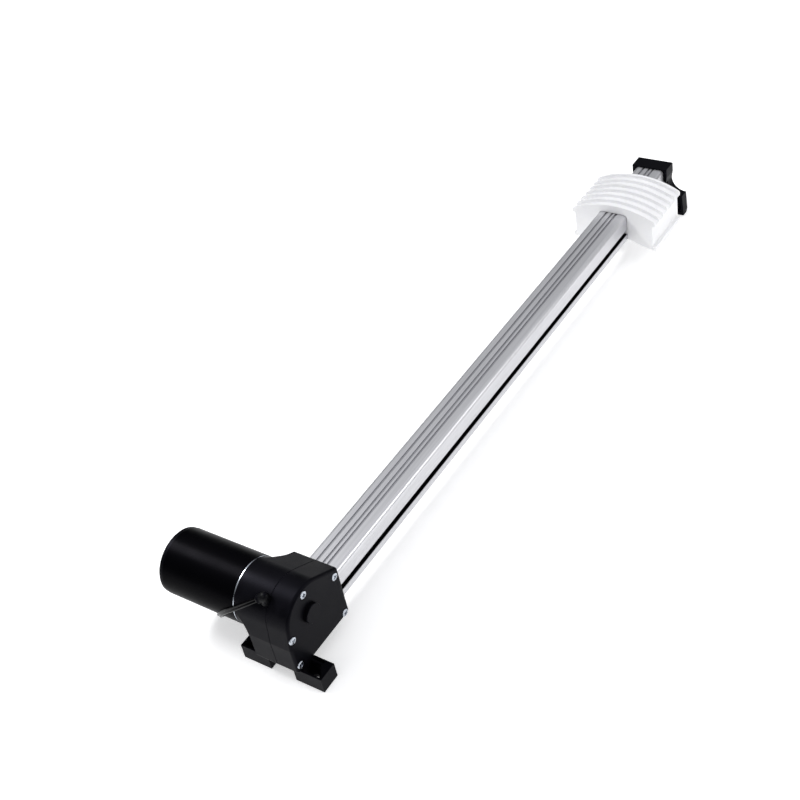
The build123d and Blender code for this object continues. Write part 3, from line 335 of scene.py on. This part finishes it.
def anodised_aluminium():
    """Extrusion: die lines run along the rail; painted shade darkens the top grooves to grey and the side
    slots to near black.
    """
    material, tree, shader = surface("anodised_aluminium", (0.62, 0.62, 0.64), 0.38, metallic=0.85)
    lines = noise_field(tree, 900, 4, stretch=(0.012, 1, 1))
    cloud = noise_field(tree, 25, 2, stretch=(0.3, 1, 1))
    vary_colour(tree, shader, lines, (0.57, 0.57, 0.59), (0.66, 0.66, 0.68))
    metal = shader.inputs["Base Color"].links[0].from_socket
    source = tree.nodes.new("ShaderNodeTexCoord")
    split = tree.nodes.new("ShaderNodeSeparateXYZ")
    tree.links.new(source.outputs["Object"], split.inputs[0])
    width = tree.nodes.new("ShaderNodeMath")
    width.operation = "ABSOLUTE"
    tree.links.new(split.outputs["Y"], width.inputs[0])
    # Painted shade: the top grooves are toned a darker grey by their place on the rail.
    groove = between(tree, split.outputs["Z"], (RAIL_TOP - 2) * MM, (RAIL_TOP - 0.3) * MM)
    inner = between(tree, width.outputs[0], 0, (RAIL_HALF - 6) * MM)
    # Painted shade: the side slots are painted near black, standing in for the shadow inside them.
    slot = between(tree, split.outputs["Z"], (RAIL_SLOT_Z[0] - 0.05) * MM, (RAIL_SLOT_Z[1] + 0.05) * MM)
    deep = between(tree, width.outputs[0], 0, (RAIL_HALF - 0.6) * MM)
    painted_shade_masks = []
    for first, second in ((groove, inner), (slot, deep)):
        both = tree.nodes.new("ShaderNodeMath")
        both.operation = "MULTIPLY"
        tree.links.new(first, both.inputs[0])
        tree.links.new(second, both.inputs[1])
        painted_shade_masks.append(both.outputs[0])
    # Mixes in the painted shade: darker grey in the grooves, near black in the slots.
    painted_shade_colour = tint(tree, metal, (0.36, 0.36, 0.38), painted_shade_masks[0])
    painted_shade_colour = tint(tree, painted_shade_colour, (0.006, 0.006, 0.007), painted_shade_masks[1])
    tree.links.new(painted_shade_colour, shader.inputs["Base Color"])
    tree.links.new(remap(tree, cloud, 0.34, 0.44), shader.inputs["Roughness"])
    bump(tree, shader, lines, 0.18, 0.00008)
    return material


def plated_steel(name, colour, roughness, grain=1500):
    material, tree, shader = surface(name, colour, roughness, metallic=1.0)
    field = noise_field(tree, grain, 3)
    light = tuple(min(1.0, channel * 1.08) for channel in colour)
    dark = tuple(channel * 0.86 for channel in colour)
    vary_colour(tree, shader, field, dark, light)
    tree.links.new(remap(tree, field, roughness - 0.06, roughness + 0.08), shader.inputs["Roughness"])
    bump(tree, shader, field, 0.1, 0.00005)
    return material


def moulded(name, colour, roughness, grain=1200, depth=0.1, **extra):
    """Plain mouldings, rubber and small inner pieces."""
    material, tree, shader = surface(name, colour, roughness, **extra)
    field = noise_field(tree, grain, 3)
    dark = tuple(channel * 0.88 for channel in colour)
    light = tuple(min(1.0, channel * 1.1) for channel in colour)
    vary_colour(tree, shader, field, dark, light)
    tree.links.new(remap(tree, field, roughness - 0.05, roughness + 0.07), shader.inputs["Roughness"])
    bump(tree, shader, field, depth, 0.0001)
    return material


def make_materials():
    return {
        "black_nylon": black_nylon(),
        "black_enamel": black_enamel(),
        "white_nylon": white_nylon(),
        "anodised_aluminium": anodised_aluminium(),
        "zinc_steel": plated_steel("zinc_steel", (0.46, 0.49, 0.54), 0.22),
        "bright_steel": plated_steel("bright_steel", (0.14, 0.14, 0.15), 0.25),
        "bearing_steel": plated_steel("bearing_steel", (0.62, 0.63, 0.65), 0.2),
        "laminated_steel": plated_steel("laminated_steel", (0.42, 0.42, 0.44), 0.4),
        "copper": plated_steel("copper", (0.72, 0.33, 0.18), 0.3),
        "grey_acetal": moulded("grey_acetal", (0.70, 0.69, 0.65), 0.4),
        "black_rubber": moulded("black_rubber", (0.002, 0.002, 0.003), 0.42, Specular_IOR_Level=0.12),
        "cable_jacket": moulded("cable_jacket", (0.0008, 0.0008, 0.0012), 0.16, Specular_IOR_Level=0.14),
        "ferrite": moulded("ferrite", (0.07, 0.07, 0.075), 0.6, depth=0.3),
        "carbon": moulded("carbon", (0.02, 0.02, 0.02), 0.5),
        "circuit_board": moulded("circuit_board", (0.03, 0.16, 0.07), 0.35),
    }


def dress_nodes(materials):
    """Every carried-over solid takes the finish of its slot."""
    for sub_part in frame["record"]["subparts"]:
        node = nodes[sub_part["node"]]
        node.data.materials.clear()
        node.data.materials.append(materials[sub_part["material_slot"]])


def round_edges(name, width, angle=35):
    """Softens a moulding's sharp edges, in millimetres."""
    bevel = nodes[name].modifiers.new("edges", "BEVEL")
    bevel.width = width * MM
    bevel.segments = 2
    bevel.limit_method = "ANGLE"
    bevel.angle_limit = math.radians(angle)


# Mesh helpers


def finish_piece(mesh_maker, name, materials, slot, body, smooth=40):
    """Turns a bmesh into an object that rides on a body, in the finish of its slot."""
    mesh = bpy.data.meshes.new(name)
    mesh_maker.to_mesh(mesh)
    mesh_maker.free()
    piece = bpy.data.objects.new(name, mesh)
    bpy.context.collection.objects.link(piece)
    mesh.materials.append(materials[slot])
    for face in mesh.polygons:
        face.use_smooth = True
    mesh.set_sharp_from_angle(angle=math.radians(smooth))
    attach(piece, body)
    return piece


def skin(maker, rings):
    """Joins rings of equal length into a closed body."""
    for low, high in zip(rings, rings[1:]):
        for step in range(len(low)):
            after = (step + 1) % len(low)
            maker.faces.new((low[step], low[after], high[after], high[step]))
    maker.faces.new(rings[0][::-1])
    maker.faces.new(rings[-1])
    bmesh.ops.recalc_face_normals(maker, faces=maker.faces)


def circle(around):
    """Cosine and sine of evenly spaced turns."""
    turns = [2 * math.pi * step / around for step in range(around)]
    return [(math.cos(turn), math.sin(turn)) for turn in turns]


def lathe(maker, profile, around, place):
    """Revolves (radius, height) points about Z and moves the result by a matrix."""
    rings = []
    for radius, height in profile:
        if radius == 0:
            rings.append([maker.verts.new(place @ Vector((0, 0, height)))])
            continue
        ring = [Vector((radius * x, radius * y, height)) for x, y in circle(around)]
        rings.append([maker.verts.new(place @ point) for point in ring])
    for low, high in zip(rings, rings[1:]):
        for step in range(around):
            after = (step + 1) % around
            if len(low) == 1:
                maker.faces.new((low[0], high[step], high[after]))
            elif len(high) == 1:
                maker.faces.new((low[step], high[0], low[after]))
            else:
                maker.faces.new((low[step], high[step], high[after], low[after]))


def cut_away(piece, cutter):
    """Takes one mesh from another and deletes the cutter."""
    cut = piece.modifiers.new("cut", "BOOLEAN")
    cut.operation = "DIFFERENCE"
    cut.solver = "EXACT"
    cut.object = cutter
    bpy.context.view_layer.update()
    result = bpy.data.meshes.new_from_object(piece.evaluated_get(bpy.context.evaluated_depsgraph_get()))
    piece.modifiers.remove(cut)
    piece.data = result
    bpy.data.objects.remove(cutter)


def cross_cutter(width, reach, depth, place):
    """A tapered plus sign for a screw's driving recess."""
    maker = bmesh.new()
    rings = []
    for height, long, wide in ((-depth, reach * 0.5, width * 0.36), (0.4 * depth, reach, width * 0.5)):
        corners = []
        for quarter in range(4):
            turn = Matrix.Rotation(math.radians(90 * quarter), 4, "Z")
            for x, y in ((wide, -wide), (long, -wide), (long, wide)):
                corners.append(maker.verts.new(place @ turn @ Vector((x, y, height))))
        rings.append(corners)
    low, high = rings
    maker.faces.new(low[::-1])
    maker.faces.new(high)
    for side in range(12):
        after = (side + 1) % 12
        maker.faces.new((low[side], low[after], high[after], high[side]))
    bmesh.ops.triangulate(maker, faces=maker.faces)
    bmesh.ops.recalc_face_normals(maker, faces=maker.faces)
    mesh = bpy.data.meshes.new("cutter")
    maker.to_mesh(mesh)
    maker.free()
    cutter = bpy.data.objects.new("cutter", mesh)
    bpy.context.collection.objects.link(cutter)
    return cutter


def pan_screw(name, crown, way, turn, materials, body, head_r, head_h, shank_r, length):
    """Cross-recess screw: crown is the top of its head, way the direction that the head faces."""
    facing = Vector(way).to_track_quat("Z", "Y").to_matrix().to_4x4()
    spin = Matrix.Rotation(math.radians(turn), 4, "Z")
    place = Matrix.Translation(Vector(crown) * MM) @ facing @ spin @ Matrix.Scale(MM, 4)
    seat = -head_h
    profile = (
        (0, seat - length),
        (shank_r * 0.7, seat - length),
        (shank_r, seat - length + 1),
        (shank_r, seat),
        (head_r * 0.97, seat),
        (head_r, seat + 0.15),
        (head_r, seat + 0.5 * head_h),
        (head_r * 0.93, seat + 0.78 * head_h),
        (head_r * 0.75, seat + 0.93 * head_h),
        (head_r * 0.4, seat + 0.99 * head_h),
        (0, seat + head_h),
    )
    maker = bmesh.new()
    lathe(maker, profile, 40, place)
    bmesh.ops.recalc_face_normals(maker, faces=maker.faces)
    piece = finish_piece(maker, name, materials, "zinc_steel", body)
    cutter = cross_cutter(head_r * 0.38, head_r * 0.66, head_h * 0.95, place)
    cut_away(piece, cutter)
    return piece


# Pieces


def lead_route():
    """The lead's control points, in metres."""
    route = []
    for angle, y, radius in LEAD_WOUND:
        turn = math.radians(angle)
        route.append((WORM_X + radius * math.cos(turn), y, WORM_Z + radius * math.sin(turn)))
    return [Vector(point) * MM for point in route + list(LEAD_FLOOR_RUN)]


def spline_points(route):
    """Points read from a NURBS spline over the route."""
    curve = bpy.data.curves.new("route", "CURVE")
    curve.dimensions = "3D"
    curve.resolution_u = 10
    spline = curve.splines.new("NURBS")
    spline.points.add(len(route) - 1)
    for point, place in zip(spline.points, route):
        point.co = (*place, 1)
    spline.order_u = 3
    spline.use_endpoint_u = True
    line = bpy.data.objects.new("route", curve)
    mesh = bpy.data.meshes.new_from_object(line)
    points = [vertex.co.copy() for vertex in mesh.vertices]
    bpy.data.objects.remove(line)
    bpy.data.curves.remove(curve)
    bpy.data.meshes.remove(mesh)
    return points


def twin_profile():
    """Outline of two cores side by side, as (across, out) pairs in millimetres."""
    core_r, shift, steps = 0.5 * LEAD_R, 0.5 * LEAD_R - CORE_OVERLAP, 11
    outline = []
    for side in (1, -1):
        for step in range(steps):
            turn = math.radians(CORE_ARC * (step / (steps - 1) - 0.5)) + (0 if side > 0 else math.pi)
            outline.append((side * shift + core_r * math.cos(turn), core_r * math.sin(turn)))
    return outline


def make_lead(materials):
    """The two-core motor lead: flat side against the motor, then flat on the floor."""
    points = spline_points(lead_route())
    profile = twin_profile()
    maker = bmesh.new()
    rings = []
    out = None
    last = len(points) - 1
    for index, point in enumerate(points):
        along = (points[min(index + 1, last)] - points[max(index - 1, 0)]).normalized()
        off_motor = Vector((point.x - WORM_X * MM, 0, point.z - WORM_Z * MM)).normalized()
        settle = min(max((point.y / MM - LEAD_LEAVES_Y) / LEAD_TURN_RUN, 0.0), 1.0)
        wanted = off_motor
        if out is not None:
            wanted = out * 0.6 + off_motor.lerp(Vector((0, 0, 1)), settle) * 0.4
        out = (wanted - along * wanted.dot(along)).normalized()
        across = along.cross(out)
        rings.append([maker.verts.new(point + (across * a + out * b) * MM) for a, b in profile])
    skin(maker, rings)
    lead = finish_piece(maker, "motor_lead", materials, "cable_jacket", "base", smooth=60)
    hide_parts("motor_cable")


def revolve(maker, profile, origin, along, side):
    """Closed body of (place along the axis, radius) pairs, in metres."""
    out = along.cross(side)
    rings = []
    for place, radius in profile:
        centre = origin + along * place
        points = [centre + (side * x + out * y) * radius for x, y in circle(32)]
        rings.append([maker.verts.new(point) for point in points])
    skin(maker, rings)


def make_boot(materials):
    """Moulded elbow that leads the cable out of the casing."""
    route = lead_route()
    way = (route[1] - route[0]).normalized()
    elbow = route[0] - way * BOOT_REACH * MM
    down = Vector(BOOT_DOWN).normalized()
    side = way.cross(down).normalized()
    ball = [(-BOOT_R * math.cos(turn), BOOT_R * math.sin(turn)) for turn in BOOT_BALL_ANGLES]
    maker = bmesh.new()
    for profile, along in ((BOOT_SLEEVE, way), (BOOT_LEG, down)):
        across = (side - along * side.dot(along)).normalized()
        shape = [(place * MM, radius * MM) for place, radius in ball + list(profile)]
        revolve(maker, shape, elbow, along, across)
    boot = finish_piece(maker, "lead_boot", materials, "black_rubber", "base")
    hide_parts("cable_grommet")


def make_screw_thread(materials):
    """Lead screw with its rolled trapezoid thread, seen through the slot under the rail."""
    low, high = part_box("lead_screw")
    around, per_turn = 20, 10
    run = THREAD_END - THREAD_START
    steps = int(run / THREAD_LEAD * per_turn)
    maker = bmesh.new()
    rings = []

    def ring(x, radius_at):
        points = []
        for step, (across, up) in enumerate(circle(around)):
            radius = radius_at(step / around)
            points.append(Vector((x, radius * across, SCREW_Z + radius * up)) * MM)
        rings.append([maker.verts.new(point) for point in points])

    def thread_radius(x, share):
        phase = ((x - THREAD_START) / THREAD_LEAD - share) % 1.0
        rise = min(max((abs(phase - 0.5) - 0.16) / 0.14, 0.0), 1.0)
        return SCREW_R - THREAD_DEPTH * rise

    ring(low.x / MM, lambda share: SCREW_JOURNAL_R)
    ring(SCREW_SEAT_X, lambda share: SCREW_JOURNAL_R)
    ring(SCREW_SEAT_X + STEP, lambda share: SCREW_SEAT_R)
    ring(THREAD_START - STEP, lambda share: SCREW_SEAT_R)
    for index in range(steps + 1):
        x = THREAD_START + run * index / steps
        ring(x, lambda share, x=x: thread_radius(x, share))
    ring(THREAD_END + STEP, lambda share: SCREW_JOURNAL_R)
    ring(high.x / MM, lambda share: SCREW_JOURNAL_R)
    skin(maker, rings)
    piece = finish_piece(maker, "lead_screw_thread", materials, "bright_steel", "screw", smooth=50)
    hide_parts("lead_screw")


def make_screws(materials):
    """Cross-recess heads in place of the plain ones."""
    crown_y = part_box("cover_screws")[0].y / MM
    for index, (x, z) in enumerate(COVER_SCREWS_XZ):
        name, turn = f"cover_screw_{index + 1}", COVER_SCREW_TURNS[index]
        piece = pan_screw(name, (x, crown_y, z), (0, -1, 0), turn, materials, "base", **COVER_SCREW)
        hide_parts("cover_screws")
    low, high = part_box("end_cap_screws")
    z = (low.z + high.z) / 2 / MM
    for side in (-1, 1):
        name, turn = f"end_cap_screw_{(side + 3) // 2}", END_CAP_SCREW_TURN * side
        y = side * (high.y / MM - END_CAP_SCREW["head_r"])
        piece = pan_screw(name, (high.x / MM, y, z), (1, 0, 0), turn, materials, "base", **END_CAP_SCREW)
        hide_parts("end_cap_screws")


materials = make_materials()
make_camera()
make_world()
make_studio()
dress_nodes(materials)
for node_name, edge in EDGES.items():
    round_edges(node_name, edge)
make_lead(materials)
make_boot(materials)
make_screw_thread(materials)
make_screws(materials)
